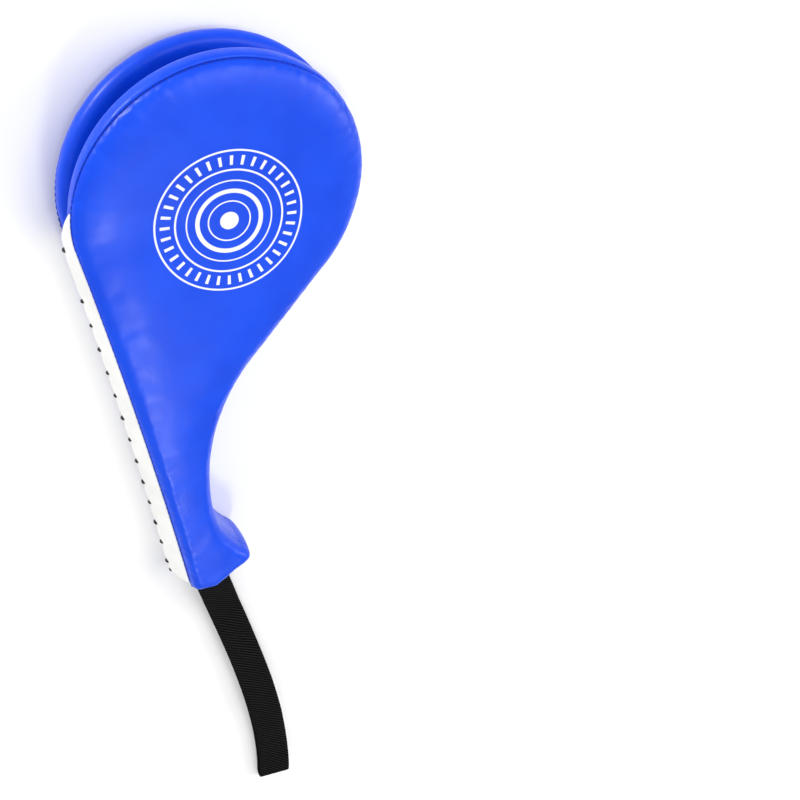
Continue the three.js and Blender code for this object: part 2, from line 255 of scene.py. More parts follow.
def seam_height(s):
    return SHOULDER - ROLL_DROP * rolled(s)


def crown_reach(y, head_reach):
    """How far in from the seam the padded face goes on rising, at the butt, the grip and the head."""
    past_butt = smoothstep(y, *REACH_NARROWS)
    past_neck = smoothstep(y, *REACH_WIDENS)
    return lerp(lerp(BUTT_REACH, GRIP_REACH, past_butt), head_reach, past_neck)


# ---- meshes ----------------------------------------------------------------------------


def new_object(name, points, faces):
    """A mesh of paddle-frame points that keeps where each point was, for its materials."""
    mesh = bpy.data.meshes.new(name)
    mesh.from_pydata([tuple(p) for p in place(points)], [], [tuple(int(i) for i in f) for f in faces])
    mesh.update()
    rest = mesh.attributes.new("rest_mm", "FLOAT_VECTOR", "POINT")
    rest.data.foreach_set("vector", np.asarray(points, np.float32).ravel())
    made = bpy.data.objects.new(name, mesh)
    bpy.context.scene.collection.objects.link(made)
    mesh.shade_smooth()
    return made


def join_points(name, parts):
    points, faces, start = [], [], 0
    for part_points, part_faces in parts:
        points.append(np.asarray(part_points, float))
        faces += [[i + start for i in face] for face in part_faces]
        start += len(part_points)
    return new_object(name, np.vstack(points), faces)


def weld(made, distance=0.00005):
    bm = bmesh.new()
    bm.from_mesh(made.data)
    bmesh.ops.remove_doubles(bm, verts=bm.verts, dist=distance)
    bm.to_mesh(made.data)
    bm.free()
    made.data.update()


def apply_modifiers(made):
    graph = bpy.context.evaluated_depsgraph_get()
    mesh = bpy.data.meshes.new_from_object(made.evaluated_get(graph))
    made.modifiers.clear()
    made.data = mesh


def thicken(made, thickness):
    solid = made.modifiers.new("thickness", "SOLIDIFY")
    solid.thickness = thickness / 1000
    solid.offset = -1
    apply_modifiers(made)


def subdivide(made, levels=1):
    fine = made.modifiers.new("smooth", "SUBSURF")
    fine.levels = levels
    fine.render_levels = levels
    fine.boundary_smooth = "PRESERVE_CORNERS"
    apply_modifiers(made)


def grid_faces(rows, columns, flip=False, closed=False):
    faces = []
    for r in range(rows - 1):
        for c in range(columns if closed else columns - 1):
            d = (c + 1) % columns
            face = [r * columns + c, r * columns + d, (r + 1) * columns + d, (r + 1) * columns + c]
            faces.append(face[::-1] if flip else face)
    return faces


def tube(path, radii, sides=8):
    """A closed tube along a path, with its own radius at each point."""
    path = np.asarray(path, float)
    tangents = np.gradient(path, axis=0)
    tangents /= np.linalg.norm(tangents, axis=1)[:, None]
    side = np.cross(tangents[0], [0.31, 0.47, 0.83])
    points = []
    for point, tangent, radius in zip(path, tangents, radii):
        side = side - tangent * (side @ tangent)
        side /= np.linalg.norm(side)
        up = np.cross(tangent, side)
        for k in range(sides):
            angle = 2 * math.pi * k / sides
            points.append(point + radius * (math.cos(angle) * side + math.sin(angle) * up))
    faces = grid_faces(len(path), sides, closed=True)
    faces.append(list(range(sides))[::-1])
    faces.append([(len(path) - 1) * sides + k for k in range(sides)])
    return np.array(points), faces


# ---- padded covers ---------------------------------------------------------------------

CLOTH_SPARE = 0.006
CLOTH_FRAMES = 20
CLOTH_CAP = 0.0005
PUCKER = ((7.3, 11.9, 18.7), (0.16, 0.20, 0.20), (0.4, 2.1, 4.0))
FACE_SHIFT = {"front": 0.0, "rear": 41.0}
WALL_SHIFT = {"front": 3.0, "rear": 44.0}
FACE_CROWN = {"front": FRONT_CROWN, "rear": CROWN}

# Each pair below holds the value at the grip, then the one at the head. GRIP_TO_HEAD is where it changes.
GRIP_TO_HEAD = (-40, 0)
GROOVE_DEPTH = (0.5, 1.1)
PUCKER_STRENGTH = (0.35, 1.0)
PUCKER_REACH = (3.0, 7.0)
SHOULDER_ROUND = 2.4
SHOULDER_STEEP = 0.74
ROLLED_SOFTER = 0.18
EVENING_ROUNDS = 14
LUMP_HEIGHT = 0.22


def nearest_on_seam(points, seam):
    """Distance to the seam line and arc length of the nearest point on it."""
    distance = np.full(len(points), 1e9)
    along = np.zeros(len(points))
    step = OUTLINE.total / OUTLINE.count
    for i in range(OUTLINE.count):
        a, b = seam[i], seam[(i + 1) % OUTLINE.count]
        ab = b - a
        t = np.clip(((points - a) @ ab) / (ab @ ab), 0, 1)
        gap = np.linalg.norm(points - a - t[:, None] * ab, axis=1)
        closer = gap < distance
        distance[closer] = gap[closer]
        along[closer] = (OUTLINE.s[i] + t * step)[closer]
    return distance, along


def triangulated(boundary, inner):
    """Triangles that fill a boundary loop through the inner points."""
    count = len(boundary)
    points = np.vstack([boundary, inner])
    edges = [(i, (i + 1) % count) for i in range(count)]
    vectors = [Vector(p) for p in points]
    verts, _, faces, *_ = delaunay_2d_cdt(vectors, edges, [], 1, 1e-5)
    return np.array([[v.x, v.y] for v in verts]), [list(f) for f in faces]


def inside(points, loop):
    x, y = points[:, 0], points[:, 1]
    found = np.zeros(len(points), bool)
    for (ax, ay), (bx, by) in zip(loop, np.roll(loop, -1, axis=0)):
        crosses = (ay > y) != (by > y)
        with np.errstate(divide="ignore", invalid="ignore"):
            reach = (bx - ax) * (y - ay) / (by - ay) + ax
        found ^= crosses & (x < reach)
    return found


def honeycomb(low, high, pitch):
    rows = np.arange(low[1], high[1], pitch * math.sqrt(3) / 2)
    points = []
    for k, y in enumerate(rows):
        x = np.arange(low[0] + (k % 2) * pitch / 2, high[0], pitch)
        points.append(np.stack([x, np.full_like(x, y)], axis=1))
    return np.vstack(points)


FACE_PITCH = 2.6
SEAM_RINGS = (0.5, 1.2, 2.2)
RINGS_END = 3.4


def face_layout():
    """Flat points and triangles of the padded face, with each point's place by the seam."""
    seam = OUTLINE.inset(OUTLINE.s, seam_inset(OUTLINE.s))
    inner = honeycomb(seam.min(0), seam.max(0), FACE_PITCH)
    inner = inner[inside(inner, seam)]
    distance, _ = nearest_on_seam(inner, seam)
    inner = inner[distance > RINGS_END]
    rings = []
    for depth in SEAM_RINGS:
        rings.append(OUTLINE.inset(OUTLINE.s, seam_inset(OUTLINE.s) + depth))
    flat, faces = triangulated(seam, np.vstack([*rings, inner]))
    distance, along = nearest_on_seam(flat, seam)
    return flat, faces, distance, along


FACE_LAYOUT = face_layout()


def evened(height, faces, distance, rounds):
    """Smooths heights over the triangles, more the further they are from the seam."""
    edges = np.array([(f[i], f[i - 1]) for f in faces for i in range(len(f))])
    count = np.bincount(edges.ravel(), minlength=len(height))
    share = smoothstep(distance, 6, 14)
    for _ in range(rounds):
        total = np.bincount(edges[:, 0], height[edges[:, 1]], len(height))
        total += np.bincount(edges[:, 1], height[edges[:, 0]], len(height))
        height = lerp(height, total / count, share)
    return height


def crown_height(flat, faces, distance, along, shift, crown, head_reach):
    """Height of the padded face: a rounded shoulder, a stitched groove and puckers by the seam."""
    y = flat[:, 1]
    share = np.clip(distance / crown_reach(y, head_reach), 0, 1)
    seam = seam_height(along)
    steep = SHOULDER_STEEP - ROLLED_SOFTER * rolled(along)
    height = seam + (SHOULDER + crown - seam) * (1 - (1 - share) ** SHOULDER_ROUND) ** steep
    height = evened(height, faces, distance, EVENING_ROUNDS)
    on_head = smoothstep(y, *GRIP_TO_HEAD)
    height -= lerp(*GROOVE_DEPTH, on_head) * bell(distance, 1.0) * (1 - rolled(along))
    puckers = ripple(along + shift, *PUCKER) * (1 - bell(distance, 1.6))
    fading = np.exp(-distance / lerp(*PUCKER_REACH, on_head))
    height += puckers * lerp(*PUCKER_STRENGTH, on_head) * fading
    lumps = np.sin(flat[:, 0] / 19 + 1.3 + shift) * np.sin(y / 23 + 0.6)
    return height + LUMP_HEIGHT * lumps * smoothstep(distance, 6, 30)


def face_cover(half):
    """Padded face of the leaf and the grip in one skin."""
    flat, faces, distance, along = FACE_LAYOUT
    shape = (FACE_SHIFT[half], FACE_CROWN[half], HEAD_REACH[half])
    height = crown_height(flat, faces, distance, along, *shape)
    points = np.column_stack([flat, height])
    if half == "rear":
        faces = [f[::-1] for f in faces]
    made = new_object(f"{half}_face_cover", half_points(points, half), faces)
    settle(made, faces, distance)
    if half == "rear":
        keep_off_floor(made)
    return made


def coordinates(made):
    values = np.empty(len(made.data.vertices) * 3, np.float32)
    made.data.vertices.foreach_get("co", values)
    return values.reshape(-1, 3).astype(float)


def keep_off_floor(made):
    placed = coordinates(made)
    placed[:, 2] = np.maximum(placed[:, 2], 0.0)
    made.data.vertices.foreach_set("co", placed.astype(np.float32).ravel())


def settle(made, faces, distance):
    """Cloth simulation: the cover has a little spare leather, which swells by its pinned seam."""
    start = coordinates(made)
    held = made.vertex_groups.new(name="held")
    hold = np.maximum(bell(distance, 1.2), 0.04 + 0.5 * smoothstep(distance, 10, 45))
    for index, weight in enumerate(hold):
        held.add([index], float(weight), "REPLACE")
    cloth = made.modifiers.new("cloth", "CLOTH")
    settings = cloth.settings
    settings.quality = 6
    settings.mass = 0.3
    settings.vertex_group_mass = "held"
    settings.pin_stiffness = 1.0
    settings.shrink_min = -CLOTH_SPARE
    settings.use_pressure = True
    settings.uniform_pressure_force = 4.0
    settings.bending_stiffness = 0.4
    settings.effector_weights.gravity = 0
    for step in range(1, CLOTH_FRAMES + 1):
        bpy.context.scene.frame_set(step)
    graph = bpy.context.evaluated_depsgraph_get()
    moved = coordinates(made.evaluated_get(graph)) - start
    moved = np.column_stack([evened(axis, faces, distance, 3) for axis in moved.T])
    made.modifiers.clear()
    made.vertex_groups.clear()
    bpy.context.scene.frame_set(1)
    size = np.linalg.norm(moved, axis=1, keepdims=True) + 1e-9
    capped = moved / size * CLOTH_CAP * np.tanh(size / CLOTH_CAP)
    made.data.vertices.foreach_set("co", (start + capped).astype(np.float32).ravel())
    made.data.update()


WALL_ROWS = 19
WALL_LENGTH = 20
WALL_FULLNESS = 0.8
WALL_TUCK = 2.6
WALL_GROOVE = 1.1


def wall_profile(share, s, tucked):
    """Inset and height of the rounded rim wall, from the seam (0) to the inner face (1)."""
    angle = math.pi / 2 - share * math.pi
    outward = max(math.cos(angle), 0.0) ** WALL_FULLNESS
    top = seam_height(s)
    middle = (top + INNER_FACE) / 2
    reach = (top - INNER_FACE) / 2
    edge = lerp(seam_inset(s), INNER_ROLL, smoothstep(share, 0.3, 0.7))
    inset = edge * (1 - outward) + WALL_TUCK * tucked * outward
    height = middle + reach * math.sin(angle)
    return inset, height


def wall_rows(half, s, shift):
    """Rows of the rim wall between two arc lengths, with a groove and puckers at its seam."""
    rows = []
    for share in np.linspace(0, 1, WALL_ROWS) ** 1.25:
        start = strip_start(half, lerp(SHOULDER, INNER_FACE, share))
        inset, height = wall_profile(share, s, 1 - smoothstep(s, s[0] + 4, s[0] + 14))
        under_strip = strip_inset(half, s, height) + SKIN + STRIP_CLEARANCE
        inset = lerp(inset, under_strip, smoothstep(s, start - 14, start + 1))
        from_seam = share * WALL_LENGTH
        height = height - WALL_GROOVE * bell(from_seam, 1.0) * (1 - rolled(s))
        lift = ripple(s + shift, *PUCKER) * (1 - bell(from_seam, 1.4)) * math.exp(-from_seam / 5)
        points = OUTLINE.inset(s, inset - 0.45 * lift)
        rows.append(np.column_stack([points, height + 0.5 * lift]))
    return rows


WALL_START = OUTLINE.marks["lower_rim"] + 30 - OUTLINE.total
WALL_END = LEFT_TOP + 26
POCKET_INSET = SKIN + 1.4
POCKET_STEP = 4
POCKET_PITCH = 5.0
POCKET_SAG = 0.35


def pocket_edge(start, end):
    """The pocket's edge between two arc lengths, as far down as the handle core."""
    edge = OUTLINE.inset(np.arange(start, end, POCKET_STEP), np.array(POCKET_INSET))
    return edge[edge[:, 1] > CORE_TOP_Y]


def gap_to_loop(points, loop):
    return np.min(np.linalg.norm(points[:, None] - loop[None], axis=2), axis=1)


def inner_cover(half):
    """Rim wall and flat inner face in one skin, carried down into the pocket."""
    s = np.arange(WALL_START, WALL_END, FINE)
    rows = wall_rows(half, s, WALL_SHIFT[half])
    wall = np.vstack(rows)
    faces = grid_faces(len(rows), len(s), flip=True)
    left = pocket_edge(s[-1] + FINE, LEFT_END)
    right = pocket_edge(BUTT_END, OUTLINE.total + WALL_START - 1)
    loop = np.vstack([rows[-1][:, :2], left, right])
    inner = honeycomb(loop.min(0), loop.max(0), POCKET_PITCH)
    inner = inner[inside(inner, loop)]
    flat, floor_faces = triangulated(loop, inner[gap_to_loop(inner, loop) > 3])
    sag = POCKET_SAG * np.sin(flat[:, 0] / 21) * np.sin(flat[:, 1] / 17)
    sag *= smoothstep(gap_to_loop(flat, loop), 2, 20)
    points = np.vstack([wall, np.column_stack([flat, INNER_FACE + sag])])
    faces += [[i + len(wall) for i in f[::-1]] for f in floor_faces]
    if half == "rear":
        faces = [f[::-1] for f in faces]
    made = new_object(f"{half}_inner_cover", half_points(points, half), faces)
    weld(made)
    return made


# ---- side strips, butt and lacing ------------------------------------------------------


FIRST_LACE = LEFT_TOP + 8
LACE_PLACES = np.array([0, *range(2, 15)])
LEFT_LACES = np.append(FIRST_LACE + LACE_PLACES * LACE_PITCH, LEFT_END - 4)
STRIP_END_ROLL = 8.0
STRIP_TOPS = {"front": -26.0, "middle": 4.5, "rear": 5.0}
STRIP_CLEARANCE = 0.1
STRIP_INSET = 0.25
LACE_PULL = 0.75
QUILT_DEPTH = 0.15
QUILT_PITCH = 5.0


def strip_start(half, z):
    """Arc length where a strip starts at this height: the front one slants up to its seam."""
    return LEFT_TOP + lerp(STRIP_TOPS["middle"], STRIP_TOPS[half], z / SHOULDER)


def strip_bulge(y):
    return lerp(*LEFT_BULGE, np.clip((FLEX_Y - y) / (FLEX_Y - BUTT_Y), 0, 1))


def strip_inset(half, s, z):
    """How far inside the outline the strip runs: bulged out between its seam and the lacing."""
    grown = lerp(0.7, 1.0, smoothstep(s - strip_start(half, z), 0, 12))
    into_roll = np.clip((s - LEFT_END) / STRIP_END_ROLL + 1, 0, 1)
    closed = np.sqrt(1 - 0.98 * into_roll**2)
    swell = strip_bulge(OUTLINE.at(s)[..., 1]) * (1 - (z / SHOULDER) ** 2) * grown * closed
    return STRIP_INSET + seam_inset(s) * smoothstep(z, 12, SHOULDER) - swell


def strip_points(half, s, z):
    """Points on the left side strip, drawn in at each lace and quilted along its seam."""
    pulled = np.max(bell(s[..., None] - LEFT_LACES, 3.6), axis=-1)
    drawn_in = LACE_PULL * pulled * (1 - smoothstep(z, 2, 8))
    quilt = QUILT_DEPTH * np.cos(2 * math.pi * s / QUILT_PITCH) * smoothstep(z, 13, 17)
    flat = OUTLINE.inset(s, strip_inset(half, s, z) + drawn_in + quilt)
    return np.concatenate([flat, z[..., None]], axis=-1)


STRIP_HEIGHTS = np.array([0.3, 0.6, 1.4, 2.6, 4.2, 6.4, 9.0, 11.6, 14.0, 16.0, 17.6, 18.6])


def side_strip(half):
    """White strip from the lacing to the seam, with a slanted top edge."""
    rows = int((LEFT_END - LEFT_TOP) / FINE)
    share, up = np.meshgrid(np.linspace(0, 1, rows), STRIP_HEIGHTS, indexing="ij")
    along = lerp(strip_start(half, up), LEFT_END, share)
    points = strip_points(half, along, up).reshape(-1, 3)
    faces = grid_faces(rows, len(STRIP_HEIGHTS), flip=half == "rear")
    made = new_object(f"{half}_left_strip", half_points(points, half), faces)
    thicken(made, SKIN)
    subdivide(made)
    return made


LACE_HALF_HEIGHT = 3.6
LACE_SLANT = 1.6
LACE_RISE = 1.6
LACE_DIVE = 2.6
FIRST_LACE_SCALE = 1.35


def lacing():
    """Cord stitches across the joint of the two side strips, one slanted stitch to each pair of holes."""
    parts = []
    for k, s in enumerate(LEFT_LACES):
        steps = np.linspace(-1, 1, 15)
        along = s - LACE_SLANT * steps
        z = LACE_HALF_HEIGHT * steps
        surface = strip_points("front", along, np.abs(z))
        surface[:, 2] = z
        lift = LACE_RISE * (1 - steps**4) - LACE_DIVE * np.abs(steps) ** 6
        path = surface.copy()
        path[:, :2] -= OUTLINE.inward(along) * lift[:, None]
        scale = FIRST_LACE_SCALE if k == 0 else 1 + 0.12 * math.sin(2.4 * k)
        parts.append(tube(path, np.full(len(path), LACE_R * scale), 10))
    return join_points("left_lacing", parts)


HALF_ROWS = (0.15, 0.25, 0.42, 0.62, 0.8, 0.93, 1)
SIDE_ROWS = np.array([*(-row for row in HALF_ROWS[::-1]), 0, *HALF_ROWS])


def side_panel():
    """Blue panel round the right side of the grip, from the front seam to the rear seam."""
    s = np.arange(BUTT_END - 2, RIGHT_END + 4, FINE)
    along, part = np.meshgrid(s, SIDE_ROWS, indexing="ij")
    up = part * (seam_height(along) - 0.2)
    swell = SIDE_PANEL_BULGE * (1 - part**2) + 0.2 * ripple(along, *PUCKER) * part**4
    flat = OUTLINE.inset(along, seam_inset(along) - swell)
    points = np.concatenate([flat, up[..., None]], axis=-1).reshape(-1, 3)
    made = new_object("right_side_cover", points, grid_faces(len(s), len(SIDE_ROWS), flip=True))
    thicken(made, SKIN)
    return made


SLOT_HALF_HEIGHT = 2.6
SLOT_ROOM = 0.8


def butt_cover():
    """End panel between the halves at the butt, with the slot that the strap leaves by."""
    s = np.arange(LEFT_END - 1, BUTT_END + 1.5, FINE)
    along, part = np.meshgrid(s, SIDE_ROWS, indexing="ij")
    up = part * (seam_height(along) - 0.3)
    ends = np.minimum(along - s[0], s[-1] - along)
    bulge = BUTT_BULGE * smoothstep(ends, 0, 9) * (1 - part**2)
    near_slot = bell(up, 4.5) * bell(OUTLINE.at(along)[..., 0] - STRAP_EXIT[0], 16)
    flat = OUTLINE.inset(along, 0.3 - bulge + 1.1 * near_slot)
    points = np.concatenate([flat, up[..., None]], axis=-1).reshape(-1, 3)
    kept = []
    for face in grid_faces(len(s), len(SIDE_ROWS), flip=True):
        centre = points[face].mean(0)
        across = (centre[:2] - STRAP_EXIT[:2]) @ STRAP_SIDE
        if abs(centre[2]) >= SLOT_HALF_HEIGHT or abs(across) >= STRAP_W / 2 + SLOT_ROOM:
            kept.append(face)
    made = new_object("butt_cover", points, kept)
    thicken(made, SKIN)
    return made


# ---- stitching -------------------------------------------------------------------------


STITCH_PITCH = 4.2
STITCH_LENGTH = STITCH_PITCH * 0.72
THREAD_R = 0.34


def stitch(middle, along, up, length, radius):
    """One thread stitch: a short arch whose ends dive into the leather."""
    steps = np.linspace(-1, 1, 7)
    lift = radius * (0.7 - 1.9 * steps**4)
    path = middle + np.outer(steps * length / 2, along) + np.outer(lift, up)
    return tube(path, np.full(len(path), radius), 6)


def seam_stitches(half):
    """Thread in the groove beside the padded face; where the face is rolled over the rim none shows."""
    count = int(OUTLINE.total / STITCH_PITCH)
    parts = []
    for k in range(count):
        s = np.array([(k + 0.5) * OUTLINE.total / count])
        if rolled(s[0]) > 0.6:
            continue
        outer = OUTLINE.inset(s, seam_inset(s) + 0.1)[0]
        ahead = OUTLINE.at(s + 0.5)[0] - OUTLINE.at(s - 0.5)[0]
        along = np.array([*ahead, 0.0]) / np.linalg.norm(ahead)
        outward = np.array([*(-OUTLINE.inward(s)[0]), 0.0])
        tilt = float(rolled(s)[0])
        up = outward * lerp(0.6, 1.0, tilt) + np.array([0, 0, lerp(0.8, 0.1, tilt)])
        middle = np.array([*outer, float(seam_height(s)[0]) - 0.75 * (1 - tilt)])
        parts.append(stitch(middle, along, up, STITCH_LENGTH, THREAD_R))
    points = [(half_points(p, half), f if half == "front" else [g[::-1] for g in f]) for p, f in parts]
    return join_points(f"{half}_seam_stitches", points)


# ---- wrist strap -----------------------------------------------------------------------

STRAP_EXIT = np.array([-5.0, -309.5])
STRAP_PLAN = bezier(STRAP_EXIT, (20, -385), (55, -480), (56, -556))
STRAP_DROP = SHOULDER + CROWN - STRAP_T / 2


def plan_tangent(share):
    ahead = STRAP_PLAN(min(share + 0.01, 1.0)) - STRAP_PLAN(max(share - 0.01, 0.0))
    return ahead / np.linalg.norm(ahead)


STRAP_ALONG = plan_tangent(0.0)
STRAP_SIDE = np.array([-STRAP_ALONG[1], STRAP_ALONG[0]])


def strap_heights(share):
    """Heights of the lower and the upper layer: together at the butt, then apart and down to the floor."""
    fall = float(smoothstep(share, 0, 0.26))
    opened = float(smoothstep(share, 0.02, 0.3) * (1 - 0.35 * smoothstep(share, 0.6, 1)))
    half = (STRAP_T + STRAP_GAP) / 2
    lower = lerp(-half, -STRAP_DROP, fall)
    return lower, lower + 2 * half + STRAP_OPENING * opened


def strap_line():
    """Middle points and up directions along the loop, out on top and back underneath."""
    points, ups = [], []
    inside_core = [STRAP_EXIT - STRAP_ALONG * back for back in (8, 4)]
    layer = (STRAP_T + STRAP_GAP) / 2
    for place_inside in inside_core:
        points.append([*place_inside, layer])
        ups.append([0, 0, 1.0])
    shares = np.linspace(0, 1, 120)
    for share in shares:
        points.append([*STRAP_PLAN(share), strap_heights(share)[1]])
        ups.append([0, 0, 1.0])
    low, high = strap_heights(1.0)
    radius, middle = (high - low) / 2, (high + low) / 2
    end, along = STRAP_PLAN(1.0), plan_tangent(1.0)
    for angle in np.radians(np.arange(75, -76, -15)):
        out = end + along * radius * math.cos(angle)
        points.append([*out, middle + radius * math.sin(angle)])
        ups.append([*(along * math.cos(angle)), math.sin(angle)])
    for share in shares[::-1]:
        points.append([*STRAP_PLAN(share), strap_heights(share)[0]])
        ups.append([0, 0, -1.0])
    for place_inside in inside_core[::-1]:
        points.append([*place_inside, -layer])
        ups.append([0, 0, -1.0])
    return np.array(points), np.array(ups)


STRAP_COLUMNS = np.linspace(-1, 1, 17)
STRAP_TWIST = ((61, 37), (0.5, 0.3), (0.2, 1.1))
STRAP_CURL = ((140, 83), (0.55, 0.35), (1.0, 2.2))


def strap_skins(points, ups, lengths):
    """Rings of points round the webbing, a little twisted and curled along its free upper layer."""
    tangents = np.gradient(points, axis=0)
    tangents /= np.linalg.norm(tangents, axis=1)[:, None]
    across = np.cross(ups, tangents)
    across /= np.linalg.norm(across, axis=1)[:, None]
    normal = np.cross(tangents, across)
    free = smoothstep(lengths, 20, 70) * smoothstep(lengths[-1] - lengths, 20, 70)
    top = smoothstep(ups[:, 2], -0.5, 0.5)
    columns = STRAP_COLUMNS
    rounded = np.sqrt(1 - np.abs(columns) ** 10 * 0.75)
    twist = ripple(lengths, *STRAP_TWIST) * free * top
    curl = ripple(lengths, *STRAP_CURL) * free * top
    skins = []
    for side in (1, -1):
        rows = []
        for k in range(len(points)):
            half = STRAP_T / 2 * rounded * side
            lift = twist[k] * columns + curl[k] * columns**2 * 1.2 + half
            rows.append(points[k] + np.outer(columns * STRAP_W / 2, across[k]) + np.outer(lift, normal[k]))
        skins.append(np.array(rows))
    return np.concatenate([skins[0], skins[1][:, ::-1]], axis=1)


def wrist_strap():
    """The webbing loop, with each point's place on the flat webbing kept for the weave."""
    points, ups = strap_line()
    lengths = np.concatenate([[0], np.cumsum(np.linalg.norm(np.diff(points, axis=0), axis=1))])
    loops = strap_skins(points, ups, lengths)
    ring = 2 * len(STRAP_COLUMNS)
    faces = grid_faces(len(points), ring, closed=True, flip=True)
    faces.append(list(range(ring)))
    faces.append([(len(points) - 1) * ring + k for k in range(ring)][::-1])
    made = new_object("wrist_strap_webbing", loops.reshape(-1, 3), faces)
    weave = made.data.attributes.new("weave_mm", "FLOAT_VECTOR", "POINT")
    across_mm = np.concatenate([STRAP_COLUMNS, STRAP_COLUMNS[::-1]]) * STRAP_W / 2
    values = [(u, length, 0.0) for length in lengths for u in across_mm]
    weave.data.foreach_set("vector", np.array(values, np.float32).ravel())
    return made


# ---- materials -------------------------------------------------------------------------


class Shader:
    """A procedural material with its nodes made by short calls."""

    def __init__(self, name):
        self.material = bpy.data.materials.new(name)
        self.material.use_nodes = True
        self.tree = self.material.node_tree
        self.surface = self.tree.nodes["Principled BSDF"]

    def node(self, kind, **values):
        made = self.tree.nodes.new(kind)
        for key, value in values.items():
            setattr(made, key, value)
        return made

    def feed(self, socket, value):
        if isinstance(value, bpy.types.NodeSocket):
            self.tree.links.new(value, socket)
        else:
            socket.default_value = value

    def math(self, operation, *inputs):
        made = self.node("ShaderNodeMath", operation=operation)
        for socket, value in zip(made.inputs, inputs):
            self.feed(socket, value)
        return made.outputs[0]

    def rest(self, attribute="rest_mm"):
        return self.node("ShaderNodeAttribute", attribute_name=attribute).outputs["Vector"]

    def noise(self, vector, scale, detail=2.0, roughness=0.5):
        made = self.node("ShaderNodeTexNoise")
        self.feed(made.inputs["Vector"], vector)
        self.feed(made.inputs["Scale"], scale)
        self.feed(made.inputs["Detail"], detail)
        self.feed(made.inputs["Roughness"], roughness)
        return made.outputs["Fac"]

    def cells(self, vector, scale):
        made = self.node("ShaderNodeTexVoronoi", feature="DISTANCE_TO_EDGE")
        self.feed(made.inputs["Vector"], vector)
        self.feed(made.inputs["Scale"], scale)
        return made.outputs["Distance"]

    def mix(self, factor, a, b):
        made = self.node("ShaderNodeMix", data_type="RGBA")
        self.feed(made.inputs[0], factor)
        self.feed(made.inputs[6], a)
        self.feed(made.inputs[7], b)
        return made.outputs[2]

    def spread(self, value, low, high, to_low=0.0, to_high=1.0):
        made = self.node("ShaderNodeMapRange", interpolation_type="SMOOTHSTEP")
        for socket, number in zip(made.inputs, (value, low, high, to_low, to_high)):
            self.feed(socket, number)
        return made.outputs[0]

    def bump(self, height, distance, strength=1.0, under=None):
        made = self.node("ShaderNodeBump")
        self.feed(made.inputs["Height"], height)
        self.feed(made.inputs["Distance"], distance)
        self.feed(made.inputs["Strength"], strength)
        if under is not None:
            self.feed(made.inputs["Normal"], under)
        return made.outputs["Normal"]

    def set(self, **values):
        for key, value in values.items():
            self.feed(self.surface.inputs[key.replace("_", " ")], value)


def leather(name, colour, deep, roughness=0.34, printed=False):
    """Coated leather: fine cell grain, slow changes of shade and gloss."""
    m = Shader(name)
    where = m.rest()
    grain = m.cells(where, 1.15)
    cloud = m.noise(where, 0.035, 3.0)
    shade = m.mix(m.spread(cloud, 0.3, 0.7), deep, colour)
    creases = m.spread(grain, 0.0, 0.12)
    gloss = m.spread(m.noise(where, 0.11, 4.0), 0.3, 0.7, roughness - 0.05, roughness + 0.06)
    if printed:
        ink = target_print(m, where)
        shade = m.mix(ink, shade, (0.86, 0.88, 0.93, 1))
        gloss = m.math("ADD", gloss, m.math("MULTIPLY", ink, 0.14))
    m.set(Base_Color=shade, Roughness=gloss)
    m.set(Specular_IOR_Level=0.24, Coat_Weight=0.08, Coat_Roughness=0.25)
    soft = m.bump(m.noise(where, 0.35, 4.0), 0.00012, 0.5)
    m.set(Normal=m.bump(creases, 0.00004, 0.35, soft))
    return m.material


PRINT_CENTRE = (2.0, -13.0)
PRINT_RINGS = ((47.4, 0.6), (34.6, 0.6), (27.5, 0.45), (20.5, 1.4), (13.5, 0.45), (6.0, 6.0))
PRINT_TICKS = 36
TICK_BAND = 41.0
TICK_HALF_LENGTH = 3.1
PRINT_EDGE = 0.2


def target_print(m, where):
    """Concentric target rings with a band of ticks, printed on the front face. 1 where there is ink."""
    split = m.node("ShaderNodeSeparateXYZ")
    m.feed(split.inputs[0], where)
    x = m.math("SUBTRACT", split.outputs[0], PRINT_CENTRE[0])
    y = m.math("SUBTRACT", split.outputs[1], PRINT_CENTRE[1])
    radius = m.math("SQRT", m.math("ADD", m.math("MULTIPLY", x, x), m.math("MULTIPLY", y, y)))
    ink = None
    for ring, half_width in PRINT_RINGS:
        middle = ring if half_width < ring else 0.0
        off = m.math("ABSOLUTE", m.math("SUBTRACT", radius, middle))
        band = m.spread(off, half_width - PRINT_EDGE, half_width + PRINT_EDGE, 1.0, 0.0)
        ink = band if ink is None else m.math("MAXIMUM", ink, band)
    turn = m.math("ARCTAN2", y, x)
    wave = m.math("COSINE", m.math("MULTIPLY", turn, float(PRINT_TICKS)))
    tick = m.spread(wave, 0.55, 0.75)
    off = m.math("ABSOLUTE", m.math("SUBTRACT", radius, TICK_BAND))
    band = m.spread(off, TICK_HALF_LENGTH - PRINT_EDGE, TICK_HALF_LENGTH + PRINT_EDGE, 1.0, 0.0)
    ink = m.math("MAXIMUM", ink, m.math("MULTIPLY", tick, band))
    worn = m.spread(m.noise(where, 1.4, 4.0, 0.7), 0.2, 0.36)
    return m.math("MULTIPLY", ink, m.math("MULTIPLY", worn, 0.93))


TWILL_SLANT = 0.9
TWILL_PITCH = 3.2
YARN_PITCH = 0.8


